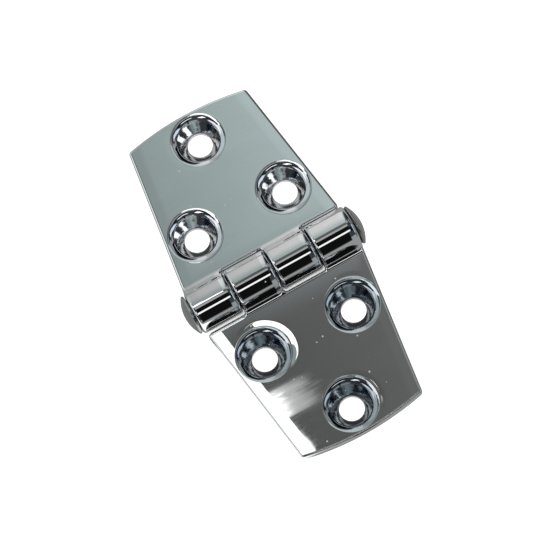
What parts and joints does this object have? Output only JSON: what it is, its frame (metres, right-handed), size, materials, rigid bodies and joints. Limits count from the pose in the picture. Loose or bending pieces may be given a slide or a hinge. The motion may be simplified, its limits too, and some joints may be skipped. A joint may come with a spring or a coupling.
{
  "type": "pressed stainless steel door hinge",
  "caption": "Butt hinge with two tapered mirror-polished leaves, rolled knuckles on a riveted domed pin, and deep pressed screw cups in each leaf.",
  "frame": {"origin": "on the mounting plane, under the middle of the hinge pin, with the hinge open flat", "axes": "+X along the pin, +Y out along the frame leaf, +Z away from the mounting plane"},
  "size_m": [0.042, 0.08, 0.0096],
  "materials": {
    "leaf_steel": "mirror-polished stainless sheet",
    "pin_steel": "satin stainless rod"
  },
  "bodies": {
    "frame_side": {"frame_leaf": "leaf_steel", "hinge_pin": "pin_steel"},
    "door_side": {"door_leaf": "leaf_steel"}
  },
  "joints": [
    {"name": "hinge_swing", "type": "hinge", "parent": "frame_side", "child": "door_side", "pos_m": [0, 0, 0.0048], "axis": [-1, 0, 0], "range_deg": [-130, 180]}
  ]
}
